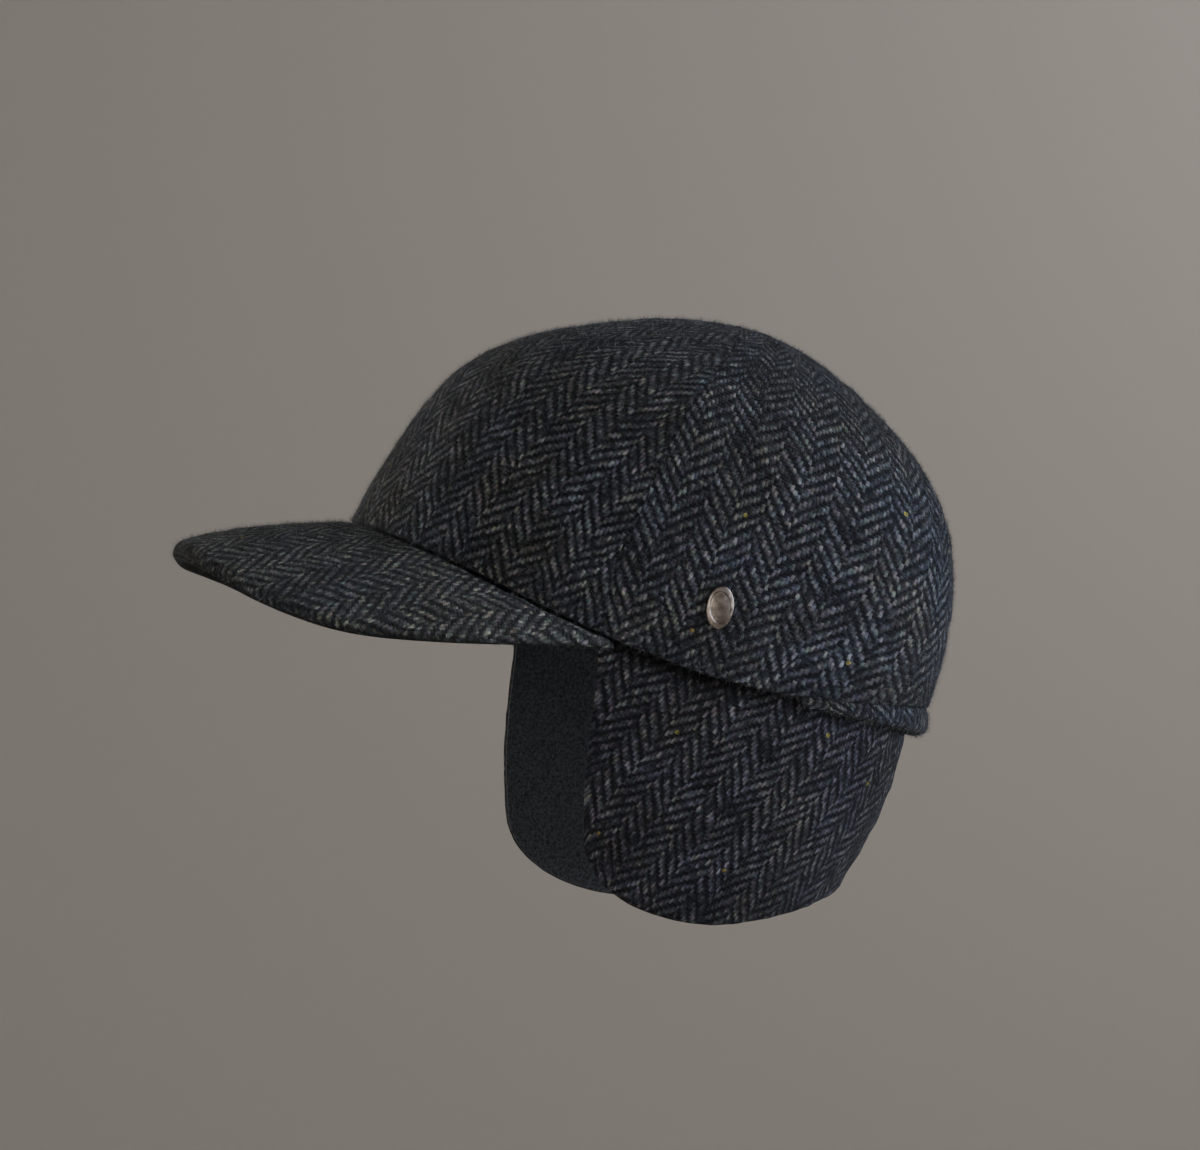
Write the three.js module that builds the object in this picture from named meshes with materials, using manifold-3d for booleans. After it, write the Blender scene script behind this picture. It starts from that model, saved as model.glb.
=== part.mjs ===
// A baseball cap with earflaps, in herringbone wool, in its worn shape. Millimetres, +Z up.
// The wearer faces -Y and the wearer's left is +X. The origin is the middle of the head opening.
import * as THREE from 'three';
import { mergeVertices } from 'three/addons/utils/BufferGeometryUtils.js';
import Module from 'manifold-3d';

const wasm = await Module();
wasm.setup();

const seamGap = 0.3; // left between neighbouring pieces
const clothWall = 2.6; // wool cloth and its inner layer, sewn together
const flapWall = 3; // the band is doubled cloth
const peakWall = 5; // cloth over a stiff board
const degree = Math.PI / 180;

// Sections of the crown from its lower edge to the top. Each joins a point of the front line to a point
// of the back line, both on the middle plane, and halfWidth is its reach to either side between them.
// seamTurn is where the front panel's seam crosses it, in degrees from the front.
const crownSections = [
  { frontY: -100.5, frontZ: 41, backY: 98, backZ: -23.5, halfWidth: 86.5, seamTurn: 74.5 },
  { frontY: -95.5, frontZ: 51, backY: 103.8, backZ: -3, halfWidth: 89, seamTurn: 72.8 },
  { frontY: -86.5, frontZ: 65, backY: 106.2, backZ: 20, halfWidth: 88.8, seamTurn: 73.2 },
  { frontY: -75, frontZ: 81.5, backY: 104, backZ: 40, halfWidth: 85.8, seamTurn: 74.9 },
  { frontY: -60.5, frontZ: 95, backY: 95.5, backZ: 58, halfWidth: 78, seamTurn: 77.5 },
  { frontY: -41, frontZ: 104.3, backY: 82.5, backZ: 74.5, halfWidth: 66, seamTurn: 81.2 },
  { frontY: -17, frontZ: 109, backY: 66.5, backZ: 89.8, halfWidth: 49, seamTurn: 84.8 },
  { frontY: 8, frontZ: 110.6, backY: 49, backZ: 101.9, halfWidth: 27, seamTurn: 88 },
  { frontY: 32, frontZ: 108.5, backY: 32, backZ: 108.5, halfWidth: 0, seamTurn: 90 },
];
const crownSteps = 16; // from the lower edge to the top
const frontPanelSteps = 26; // across it
const sidePanelSteps = 20;
const crownFullness = 0.08; // how far the sections swell beyond an ellipse at their quarters
const crownRearFullness = 0.05; // how much wider the sections are behind than in front
const rimSag = 15; // how far the lower edge dips below a straight line over the ears
const rimSagSkew = 0.15; // the dip is deepest a little behind the middle
const poleRise = 0.996; // the panels stop just short of the point where they meet

// The outer edge of the peak, at even steps along its seam, from the middle to the wearer's left end.
const peakEdge = [
  { x: 0, y: -163, z: 34.5 },
  { x: 25, y: -158.5, z: 31.5 },
  { x: 48, y: -143.5, z: 22 },
  { x: 67, y: -119, z: 11 },
  { x: 80.5, y: -82, z: 5 },
  { x: 84, y: -26.5, z: 1.6 },
];
const peakTurn = 75; // degrees from the front to each end of the peak's seam
const peakArch = 2.4; // how far the peak bows up between its seam and its edge
const peakArchLength = 40; // shorter stretches near its ends bow less
const peakEndShare = 0.6; // how soon the peak reaches its full thickness away from its ends
const peakSeamShare = 0.2; // and away from its seam
const peakEdgeWall = 0.8; // flat left at the rounded edge
const peakAcrossSteps = 32;
const peakSteps = 10; // from the outer edge to the seam
const peakEdgeSteps = 3; // of them, on the rounded edge

// Level sections of the earflap band, every 20 mm down from 15 mm above the origin.
const flapSections = [
  { level: 15, backY: 91.4, halfWidth: 83.2, frontReach: 102 },
  { level: -5, backY: 91.2, halfWidth: 83.2, frontReach: 102 },
  { level: -25, backY: 90.6, halfWidth: 82.6, frontReach: 108 },
  { level: -45, backY: 86.5, halfWidth: 80.6, frontReach: 112.5 },
  { level: -65, backY: 78, halfWidth: 77.4, frontReach: 112 },
  { level: -85, backY: 65.5, halfWidth: 73.2, frontReach: 111 },
  { level: -105, backY: 52, halfWidth: 68, frontReach: 108 },
];
const flapMiddleY = 8; // where the band is widest
const flapFrontTurn = 69; // degrees from the front to the band's front edge
const flapTuck = 12; // how far the band goes up inside the crown
const flapEarZ = -94; // lowest point of the flap
const flapNapeZ = -84; // lower edge at the middle of the back
const flapCornerRise = 30; // height of the rounded front corner
const flapCornerTurn = 24; // degrees that the rounded front corner takes up
const flapAcrossSteps = 48;
const flapSteps = 11; // from its lower edge to its top
const flapCrowding = 0.14; // how closely its steps crowd towards the front corners

// The turned hem behind, from its ends beside the neck to the middle of the back.
const hemEndTurn = 112;
const hemEndHeight = 1.6;
const hemBackHeight = 9.4;
const hemEndDepth = 2.6;
const hemBackDepth = 7;
const hemSwell = 0.8; // below 1, it keeps most of its thickness towards its ends
const hemRoundSteps = 14;
const hemSteps = 36; // from end to end

const pinTurn = 92; // degrees from the front to the pin
const pinRise = 0.135;
const pinWidth = 9.4;
const pinHeight = 14.6;
const pinThickness = 1.2;
const pinBevel = 0.4; // round both faces of its plate
const pinLean = 9; // degrees that its top leans back
const pinPostRadius = 0.8;
const pinClutchRadius = 3.2;
const pinClutchDepth = 1.6;
const pinRoundSteps = 12;

const { clamp, lerp, smoothstep } = THREE.MathUtils;
const pointAt = (line, share) => line.getPoint(clamp(share, 0, 1));

// A smooth line through two columns of a table.
function lineThrough(rows, first, second) {
  return new THREE.SplineCurve(rows.map((row) => new THREE.Vector2(row[first], row[second])));
}

const frontLine = lineThrough(crownSections, 'frontY', 'frontZ');
const backLine = lineThrough(crownSections, 'backY', 'backZ');
const widthLine = lineThrough(crownSections, 'halfWidth', 'seamTurn');
const flapLine = lineThrough(flapSections, 'backY', 'halfWidth');
const flapFrontLine = lineThrough(flapSections, 'frontReach', 'level');
const seamTurn = (rise) => pointAt(widthLine, rise).y * degree;

// A point of the crown's outer face. turn runs from 0 at the front over the wearer's left to 2 pi,
// and rise from 0 at the lower edge to 1 at the top.
function crownPoint(turn, rise) {
  const front = pointAt(frontLine, rise);
  const back = pointAt(backLine, rise);
  const halfWidth = pointAt(widthLine, rise).x;
  const forward = Math.cos(turn);
  const aside = Math.sin(turn);
  const along = -forward * (1 + crownFullness * aside ** 2);
  const across = aside * (1 + crownFullness * forward ** 2) * (1 + crownRearFullness * along);
  const share = (1 + along) / 2;
  const dip = rimSag * Math.max(0, 1 - along ** 2) ** 1.5 * (1 + rimSagSkew * along) * (1 - rise) ** 3;
  const chord = front.clone().lerp(back, share);
  return new THREE.Vector3(halfWidth * across, chord.x, chord.y - dip);
}

// The unit vector that points out of a surface given by two shares from 0 to 1.
function outwardNormal(surface, a, b) {
  const step = 1e-3;
  const sideways = surface(a + step, b).sub(surface(a - step, b));
  const upward = surface(a, b + step).sub(surface(a, b - step));
  return sideways.cross(upward).normalize();
}

// A closed wall of cloth: a box whose front face lies on the surface and whose back face lies inward of it.
function clothSheet(surface, acrossSteps, upSteps, inward) {
  const sheet = new THREE.BoxGeometry(1, 1, 1, acrossSteps, upSteps, 1);
  const corner = sheet.attributes.position;
  for (let i = 0; i < corner.count; i += 1) {
    const a = corner.getX(i) + 0.5;
    const b = corner.getY(i) + 0.5;
    const point = surface(a, b);
    if (corner.getZ(i) < 0) point.add(inward(a, b));
    corner.setXYZ(i, point.x, point.y, point.z);
  }
  return weld(sheet);
}

function evenWall(surface, thickness) {
  return (a, b) => outwardNormal(surface, a, b).multiplyScalar(-thickness);
}

function weld(geometry) {
  geometry.deleteAttribute('normal');
  geometry.deleteAttribute('uv');
  const welded = mergeVertices(geometry, 1e-4);
  welded.computeVertexNormals();
  return welded;
}

function toSolid(geometry) {
  return new wasm.Manifold(new wasm.Mesh({
    numProp: 3,
    vertProperties: new Float32Array(geometry.attributes.position.array),
    triVerts: new Uint32Array(geometry.index.array),
  }));
}

function toGeometry(solid) {
  const mesh = solid.getMesh();
  const geometry = new THREE.BufferGeometry();
  geometry.setAttribute('position', new THREE.BufferAttribute(new Float32Array(mesh.vertProperties), 3));
  geometry.setIndex(new THREE.BufferAttribute(new Uint32Array(mesh.triVerts), 1));
  geometry.computeVertexNormals();
  return geometry;
}

// A crown panel between two seams, each a function from rise to turn. Each side edge gives up half the gap.
function crownPanel(startTurn, endTurn, acrossSteps) {
  const surface = (a, b) => {
    const rise = b * poleRise;
    const trim = seamGap / 2 / Math.max(pointAt(widthLine, rise).x, 1);
    return crownPoint(lerp(startTurn(rise) + trim, endTurn(rise) - trim, a), rise);
  };
  return clothSheet(surface, acrossSteps, crownSteps, evenWall(surface, clothWall));
}

function frontPanel() {
  return crownPanel((rise) => -seamTurn(rise), seamTurn, frontPanelSteps);
}

// Where the pin sits on the crown, with its z axis pointing out and its y axis up the cloth.
function pinPlace() {
  const surface = (a, b) => crownPoint(a, b);
  const outward = outwardNormal(surface, pinTurn * degree, pinRise);
  const point = crownPoint(pinTurn * degree, pinRise);
  const up = new THREE.Vector3(0, Math.sin(pinLean * degree), Math.cos(pinLean * degree));
  const sideways = up.clone().cross(outward).normalize();
  const frame = new THREE.Matrix4().makeBasis(sideways, outward.clone().cross(sideways), outward);
  return frame.setPosition(point);
}

function leftPanel() {
  const panel = crownPanel(seamTurn, () => Math.PI, sidePanelSteps);
  const radius = pinPostRadius + seamGap;
  const hole = new THREE.CylinderGeometry(radius, radius, 4 * clothWall, pinRoundSteps);
  hole.rotateX(Math.PI / 2);
  hole.applyMatrix4(pinPlace());
  return toGeometry(toSolid(panel).subtract(toSolid(weld(hole))));
}

function rightPanel() {
  return crownPanel(() => Math.PI, (rise) => 2 * Math.PI - seamTurn(rise), sidePanelSteps);
}

// The peak starts one gap below the crown's front edge, with that edge's own thickness, and thickens outward.
function peak() {
  const half = peakEdge.map((row) => new THREE.Vector3(row.x, row.y, row.z));
  const mirrored = half.slice(1).reverse().map((point) => new THREE.Vector3(-point.x, point.y, point.z));
  const edgeLine = new THREE.CatmullRomCurve3([...mirrored, ...half]);
  const crownWall = (a, b) => crownPoint((2 * a - 1) * peakTurn * degree, b);

  // The plate across one station: from the seam to the outer edge, with its thickness and its upward side.
  const plateAt = (share) => {
    const seam = crownWall(share, 0);
    const below = seam.clone().sub(crownWall(share, 1e-3)).setLength(seamGap);
    const edge = edgeLine.getPoint(share);
    const chord = edge.clone().sub(seam.add(below));
    const up = chord.clone().cross(edgeLine.getTangent(share)).normalize();
    const middle = smoothstep(Math.sin(Math.PI * share), 0, peakEndShare);
    const inward = chord.clone().normalize().negate();
    return { edge, up, inward, length: chord.length(), wall: lerp(clothWall, peakWall, middle) };
  };
  // How far in from the outer edge a step lies. The first steps lie inside the rounded edge.
  const insetAt = (plate, b) => {
    const round = Math.min(plate.wall / 2, plate.length / 3);
    const first = peakEdgeSteps / peakSteps;
    const onEdge = round * (1 - Math.cos((Math.PI / 2) * Math.min(b / first, 1)));
    return lerp(onEdge, plate.length, Math.max(b - first, 0) / (1 - first));
  };
  const halfThickness = (plate, inset) => {
    const radius = plate.wall / 2;
    return Math.sqrt(radius ** 2 - Math.max(radius - inset, 0) ** 2);
  };
  const surface = (a, b) => {
    const plate = plateAt(clamp(a, 0, 1));
    const inset = insetAt(plate, b);
    const depth = 1 - inset / plate.length;
    const bow = peakArch * 4 * depth * (1 - depth) * Math.min(1, plate.length / peakArchLength);
    const droop = plate.wall / 2 - halfThickness(plate, inset);
    return plate.edge.addScaledVector(plate.inward, inset).addScaledVector(plate.up, bow - droop);
  };
  const inward = (a, b) => {
    const plate = plateAt(a);
    const inset = insetAt(plate, b);
    const down = plate.up.multiplyScalar(-Math.max(2 * halfThickness(plate, inset), peakEdgeWall));
    const atSeam = outwardNormal(crownWall, a, 0).multiplyScalar(-clothWall);
    return atSeam.lerp(down, smoothstep(1 - inset / plate.length, 0, peakSeamShare));
  };
  return clothSheet(surface, peakAcrossSteps, peakSteps, inward);
}

// A point of the band's outer face at a turn and a height.
function flapPoint(turn, height) {
  const top = flapSections[0].level;
  const bottom = flapSections[flapSections.length - 1].level;
  const drop = (top - height) / (top - bottom);
  const section = pointAt(flapLine, drop);
  const forward = Math.cos(turn);
  const aside = Math.sin(turn);
  const reach = forward > 0 ? pointAt(flapFrontLine, drop).x : section.x - flapMiddleY;
  const along = -forward * (1 + crownFullness * aside ** 2);
  const across = aside * (1 + crownFullness * forward ** 2);
  return new THREE.Vector3(section.y * across, flapMiddleY + reach * along, height);
}

// The lower edge: rounded up at the front corners, deepest over the ears, a little higher at the nape.
function flapEdgeZ(turn) {
  const fromFront = Math.min(turn, 2 * Math.PI - turn) - flapFrontTurn * degree;
  const corner = clamp(fromFront / (flapCornerTurn * degree), 0, 1);
  const rounded = flapCornerRise * (1 - Math.sqrt(1 - (1 - corner) ** 2));
  const towardNape = smoothstep(Math.abs(turn - Math.PI), 0, Math.PI / 2);
  return lerp(flapNapeZ, flapEarZ, towardNape) + rounded;
}

function earflapBand() {
  const first = flapFrontTurn * degree;
  const last = 2 * Math.PI - first;
  const surface = (a, b) => {
    const even = clamp(a, 0, 1);
    const turn = lerp(first, last, even - flapCrowding * Math.sin(2 * Math.PI * even)) + (a - even);
    const top = crownPoint(turn, 0).z + flapTuck;
    return flapPoint(turn, lerp(flapEdgeZ(turn), top, b));
  };
  return clothSheet(surface, flapAcrossSteps, flapSteps, evenWall(surface, flapWall));
}

// The turned hem under the crown's rear edge: a rounded roll that tapers to both ends.
function rearHem() {
  const roll = new THREE.CylinderGeometry(1, 1, 1, hemRoundSteps, hemSteps);
  const corner = roll.attributes.position;
  const first = hemEndTurn * degree;
  const last = 2 * Math.PI - first;
  for (let i = 0; i < corner.count; i += 1) {
    const turn = lerp(first, last, corner.getY(i) + 0.5);
    const swell = Math.sin((Math.PI * (turn - first)) / (last - first)) ** hemSwell;
    const height = lerp(hemEndHeight, hemBackHeight, swell);
    const depth = lerp(hemEndDepth, hemBackDepth, swell);
    const rim = crownPoint(turn, 0);
    const outward = new THREE.Vector3(rim.x, rim.y - flapMiddleY, 0).normalize();
    const out = corner.getX(i);
    const up = corner.getZ(i);
    rim.addScaledVector(outward, (depth * (out - 1)) / 2);
    rim.z += (height * (up - 1)) / 2 - 2 * seamGap;
    corner.setXYZ(i, rim.x, rim.y, rim.z);
  }
  return weld(roll);
}

// A plain oval pin: a bevelled plate outside, a post through the cloth and a clutch inside, as one solid.
function pinBadge() {
  const outline = new THREE.Shape();
  outline.absellipse(0, 0, pinWidth / 2 - pinBevel, pinHeight / 2 - pinBevel, 0, 2 * Math.PI);
  const plate = new THREE.ExtrudeGeometry(outline, {
    depth: pinThickness - 2 * pinBevel,
    bevelThickness: pinBevel,
    bevelSize: pinBevel,
    bevelSegments: 2,
    curveSegments: pinRoundSteps,
  });
  plate.translate(0, 0, seamGap + pinBevel);
  const clutchTop = -clothWall - 2 * seamGap;
  const postTop = seamGap + pinThickness / 2;
  const postBottom = clutchTop - pinClutchDepth / 2;
  const post = new THREE.CylinderGeometry(pinPostRadius, pinPostRadius, postTop - postBottom, pinRoundSteps);
  post.rotateX(Math.PI / 2);
  post.translate(0, 0, (postTop + postBottom) / 2);
  const clutch = new THREE.CylinderGeometry(pinClutchRadius, pinClutchRadius, pinClutchDepth, pinRoundSteps);
  clutch.rotateX(Math.PI / 2);
  clutch.translate(0, 0, clutchTop - pinClutchDepth / 2);
  return toGeometry(toSolid(weld(plate)).add(toSolid(weld(post))).add(toSolid(weld(clutch))));
}

const cap = new THREE.Group();

function wool(name, color) {
  return new THREE.MeshStandardMaterial({ name, color, roughness: 0.95, metalness: 0 });
}

function addPiece(name, geometry, material) {
  const piece = new THREE.Mesh(geometry, material);
  piece.name = name;
  cap.add(piece);
  return piece;
}

addPiece('front_panel', frontPanel(), wool('front panel wool', 0x4c5458));
addPiece('left_panel', leftPanel(), wool('left panel wool', 0x495156));
addPiece('right_panel', rightPanel(), wool('right panel wool', 0x495156));
addPiece('peak', peak(), wool('peak wool', 0x50585a));
addPiece('earflap_band', earflapBand(), wool('earflap wool', 0x42494e));
addPiece('rear_hem', rearHem(), wool('hem wool', 0x454c51));
const pewter = { name: 'pewter', color: 0x8f8d88, roughness: 0.4, metalness: 1 };
addPiece('pin_badge', pinBadge(), new THREE.MeshStandardMaterial(pewter)).applyMatrix4(pinPlace());

export default cap;
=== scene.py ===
# A herringbone wool cap with a curved peak and an earflap band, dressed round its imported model.
# Blender works in metres here. Sizes are given in millimetres and multiplied by mm.
# The wearer faces -Y and the wearer's left is +X. The origin is the middle of the head opening.
import functools
import math
import random

import bmesh
import bpy
import numpy as np
from mathutils import Matrix, Vector, noise


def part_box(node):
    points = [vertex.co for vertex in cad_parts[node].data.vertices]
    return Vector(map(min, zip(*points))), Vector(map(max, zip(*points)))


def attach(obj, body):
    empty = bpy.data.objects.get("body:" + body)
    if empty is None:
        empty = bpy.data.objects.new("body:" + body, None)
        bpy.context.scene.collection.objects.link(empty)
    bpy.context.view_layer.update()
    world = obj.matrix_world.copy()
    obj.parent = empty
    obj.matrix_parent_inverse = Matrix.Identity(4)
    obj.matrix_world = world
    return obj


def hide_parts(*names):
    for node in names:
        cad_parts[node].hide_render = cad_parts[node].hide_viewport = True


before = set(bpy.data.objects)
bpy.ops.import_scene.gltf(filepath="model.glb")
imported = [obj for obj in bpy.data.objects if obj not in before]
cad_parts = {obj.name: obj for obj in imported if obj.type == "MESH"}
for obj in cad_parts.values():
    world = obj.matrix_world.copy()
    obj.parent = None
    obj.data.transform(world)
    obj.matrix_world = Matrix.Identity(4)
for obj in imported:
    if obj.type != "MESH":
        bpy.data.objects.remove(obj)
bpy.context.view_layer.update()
mm = 0.001


def mix(start, end, share):
    return start + (end - start) * share


def smooth(share):
    share = min(max(share, 0), 1)
    return share * share * (3 - 2 * share)


def lineAt(rows, share):  # a smooth line through a table's rows, from the first at 0 to the last at 1
    place = min(max(share, 0), 1) * (len(rows) - 1)
    start = min(int(place), len(rows) - 2)
    t = place - start
    near = [rows[min(max(start + k, 0), len(rows) - 1)] for k in (-1, 0, 1, 2)]
    return [b + t * ((c - a) / 2 + t * (a - 2.5 * b + 2 * c - d / 2 + t * (1.5 * (b - c) + (d - a) / 2)))
            for a, b, c, d in zip(*near)]


# shapes of the pieces

crown = {
    # lower edge to top: front point Y Z, back point Y Z, half width, and the turn of the front panel's seam
    "sections": [
        (-100.5, 41, 98, -23.5, 86.5, 74.5),
        (-95.5, 51, 103.8, -3, 89, 72.8),
        (-86.5, 65, 106.2, 20, 88.8, 73.2),
        (-75, 81.5, 104, 40, 85.8, 74.9),
        (-60.5, 95, 95.5, 58, 78, 77.5),
        (-41, 104.3, 82.5, 74.5, 66, 81.2),
        (-17, 109, 66.5, 89.8, 49, 84.8),
        (8, 110.6, 49, 101.9, 27, 88),
        (32, 108.5, 32, 108.5, 0, 90),
    ],
    "fullness": 0.08,       # how far the sections swell beyond an ellipse
    "rearFullness": 0.05,   # how much wider they are behind
    "sag": 15,              # dip of the lower edge over the ears
    "sagSkew": 0.15,        # how much deeper that dip is behind than in the middle
    "top": 0.996,           # the panels stop just short of the point where they meet
    "wall": 2.6,
    "gap": 0.3,             # to the peak, and half the one to the rear hem
    "lap": 0.15,            # how far each panel runs into the seams between them
    "seam": (0.8, 1.7),     # depth and width of the roll into a seam
    "rim": (1.1, 1.3),      # depth and height of the turned lower edge
    "hemmed": 0.85,         # how much shallower the turned edge is above the middle of the rear hem
    "inside": (0.6, 0.9),   # the small roll on the inner side
    "lean": (55, 63),       # how the weave's columns rise, in front and at the sides, in degrees from level
    "steps": (150, 120, 100),      # across the front panel, across a side panel, and up
    "edgeShare": (0.012, 0.03),    # share of a panel on which the steps crowd, at its seams and at its rim
}


@functools.lru_cache(maxsize=4096)
def crownSection(rise):
    return lineAt(crown["sections"], rise)


def crownPoint(turn, rise):  # turn is in radians from the front over the wearer's left
    frontY, frontZ, backY, backZ, halfWidth, _ = crownSection(rise)
    forward, aside = math.cos(turn), math.sin(turn)
    along = -forward * (1 + crown["fullness"] * aside ** 2)
    across = aside * (1 + crown["fullness"] * forward ** 2) * (1 + crown["rearFullness"] * along)
    share = (1 + along) / 2
    dip = crown["sag"] * max(0, 1 - along ** 2) ** 1.5 * (1 + crown["sagSkew"] * along) * (1 - rise) ** 3
    return Vector((halfWidth * across, mix(frontY, backY, share), mix(frontZ, backZ, share) - dip)) * mm


def seamTurn(rise):
    return math.radians(crownSection(rise)[5])


def panelSurface(startTurn, endTurn):
    def surface(a, b):
        rise = b * crown["top"]
        lap = crown["lap"] / max(crownSection(rise)[4], 1)
        return crownPoint(mix(startTurn(rise) - lap, endTurn(rise) + lap, a), rise)
    return surface


peak = {
    # the outer edge at even steps along the seam, from the wearer's right end to the left one, a little askew
    "edge": [
        (-84, -26.5, 1.6),
        (-80.5, -82, 5.2),
        (-67, -119, 12.8),
        (-48, -143.5, 24.2),
        (-25, -158.5, 31.7),
        (0, -163, 34.5),
        (25, -158.5, 30.8),
        (48, -143.5, 19.9),
        (67, -119, 10),
        (80.5, -82, 4.9),
        (84, -26.5, 1.6),
    ],
    "turn": 75,             # how far round the crown its seam goes to each side, in degrees
    "arch": 2.4,            # how far it bows up between seam and edge
    "archLength": 40,       # where it is shorter than this, it bows less
    "wall": 6,
    "nose": (3, 48, -20),   # how much thicker its front is, how far that goes aside, and X of its middle
    "endShare": 0.6,        # how soon it is fully thick away from its ends
    "seamShare": 0.2,       # share of its length on which it thins out to the crown's wall
    "edgeWall": 0.8,        # how thick the very edge is
    "edgeSteps": 0.3,       # share of the steps on the rounded edge
    "shadePower": (4, 0.7),  # how steeply the painted shade of the underside ends, at the nose and at the sides
    "lean": 8,              # rise of the weave's columns towards the back, in degrees
    "seam": (1.8, 2.6),     # depth and width of the roll into the seam
    "steps": (150, 70),     # along its seam and from edge to seam
    "endSteps": 0.01,       # share of it on which the steps crowd at each end
}


def peakEdgeLine():
    points = [Vector(row) for row in peak["edge"]]
    points = [2 * points[0] - points[1]] + points + [2 * points[-1] - points[-2]]

    def line(share):  # centripetal Catmull-Rom, even shares of its points
        place = min(max(share, 0), 1) * (len(points) - 3)
        start = min(int(place), len(points) - 4)
        t = place - start
        p0, p1, p2, p3 = points[start:start + 4]
        d0, d1, d2 = (p1 - p0).length ** 0.5, (p2 - p1).length ** 0.5, (p3 - p2).length ** 0.5
        t1 = ((p1 - p0) / d0 - (p2 - p0) / (d0 + d1) + (p2 - p1) / d1) * d1
        t2 = ((p2 - p1) / d1 - (p3 - p1) / (d1 + d2) + (p3 - p2) / d2) * d1
        return p1 + t1 * t + (3 * (p2 - p1) - 2 * t1 - t2) * t ** 2 + (2 * (p1 - p2) + t1 + t2) * t ** 3
    return line


peakEdge = peakEdgeLine()


@functools.lru_cache(maxsize=4096)
def peakPlate(share):  # one station across the peak, in millimetres
    turn = math.radians((2 * share - 1) * peak["turn"])
    seam, inner = crownPoint(turn, 0) / mm, crownPoint(turn, 1e-3) / mm
    seam += (seam - inner).normalized() * crown["gap"]
    edge = peakEdge(share)
    chord = edge - seam
    up = chord.cross(peakEdge(min(share + 1e-3, 1)) - peakEdge(max(share - 1e-3, 0))).normalized()
    sideways = crownPoint(turn + 1e-3, 0) - crownPoint(turn - 1e-3, 0)
    upward = crownPoint(turn, 1e-3) - crownPoint(turn, 0)
    wall = mix(crown["wall"], peak["wall"], smooth(math.sin(math.pi * share) / peak["endShare"]))
    wall += peak["nose"][0] * smooth(1 - abs(edge.x - peak["nose"][2]) / peak["nose"][1])
    atSeam = -sideways.cross(upward).normalized() * crown["wall"]
    return edge, up, -chord.normalized(), chord.length, wall, atSeam


def peakInset(length, wall, b):  # how far in from the outer edge a step lies
    rounded = min(wall / 2, length / 3)
    onEdge = rounded * (1 - math.cos(math.pi / 2 * min(b / peak["edgeSteps"], 1)))
    return mix(onEdge, length, max(b - peak["edgeSteps"], 0) / (1 - peak["edgeSteps"]))


def halfThickness(wall, inset):
    return math.sqrt((wall / 2) ** 2 - max(wall / 2 - inset, 0) ** 2)


def peakSurface(a, b):
    edge, up, inward, length, wall, _ = peakPlate(a)
    inset = peakInset(length, wall, b)
    depth = 1 - inset / length
    bow = peak["arch"] * 4 * depth * (1 - depth) * min(1, length / peak["archLength"])
    return (edge + inward * inset + up * (bow - wall / 2 + halfThickness(wall, inset))) * mm


def peakUnrolled(a, b):  # the same with the rounded edge opened flat
    edge, up, inward, length, wall, _ = peakPlate(a)
    rounded = min(wall / 2, length / 3)
    unrolled = math.pi / 2 * rounded * (min(b / peak["edgeSteps"], 1) - 1) + rounded
    inset = unrolled if b < peak["edgeSteps"] else peakInset(length, wall, b)
    depth = 1 - max(inset, 0) / length
    bow = peak["arch"] * 4 * depth * (1 - depth) * min(1, length / peak["archLength"])
    return (edge + inward * inset + up * bow) * mm


def peakInward(a, b):
    _, up, _, length, wall, atSeam = peakPlate(a)
    inset = peakInset(length, wall, b)
    down = -up * max(2 * halfThickness(wall, inset), peak["edgeWall"])
    return atSeam.lerp(down, smooth((1 - inset / length) / peak["seamShare"])) * mm


def peakShade(a, b):  # painted shade: the rounded edge's colour darkens downwards, most of all at the nose
    aside = smooth(abs(peakEdge(a).x) / peak["nose"][1])
    return cloth["underside"] * (1 - min(b / peak["edgeSteps"], 1) ** mix(*peak["shadePower"], aside))


flap = {
    # every 20 mm down from 15 mm above the origin: back Y, half width, reach forward
    "sections": [
        (91.4, 83.2, 102),
        (91.2, 83.2, 102),
        (90.6, 82.6, 108),
        (86.5, 80.6, 112.5),
        (78, 77.4, 112),
        (65.5, 73.2, 111),
        (52, 68, 108),
    ],
    "top": 15,              # height of the first section
    "bottom": -105,         # height of the last one
    "middleY": 8,
    "frontTurn": 69,        # where its front edges are, in degrees from the front
    "tuck": 12,             # how far it goes up inside the crown
    "earZ": -94,            # its lower edge at the ears and at the nape
    "napeZ": -84,
    "cornerRise": 30,       # height of its rounded front corners, and how far round they go, in degrees
    "cornerTurn": 24,
    "crowding": 0.14,       # how much its steps crowd towards the front edges
    "wall": 3,
    "edge": (1.4, 1.9),     # depth and width of its rounded edges
    "pull": (2.7, 0.1, 12),  # how far the crown draws it in, ahead and behind, and how far down that goes; it also sets the painted shade under the crown's edge
    "pullTurn": (0.6, 0.8),  # how far behind the middle the change starts, and over how much, as cosines
    "cut": (0.329, 0.118),  # its size laid flat, in metres
    "cutArea": 0.029,       # in square metres
    "lean": 60,             # rise of the weave's columns, in degrees
    "steps": (220, 70),     # round the head and up
    "edgeShare": (0.006, 0.025),   # share of it on which they crowd, at the front edges and the lower one
}


@functools.lru_cache(maxsize=65536)
def flapSection(drop):
    return lineAt(flap["sections"], drop)


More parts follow.
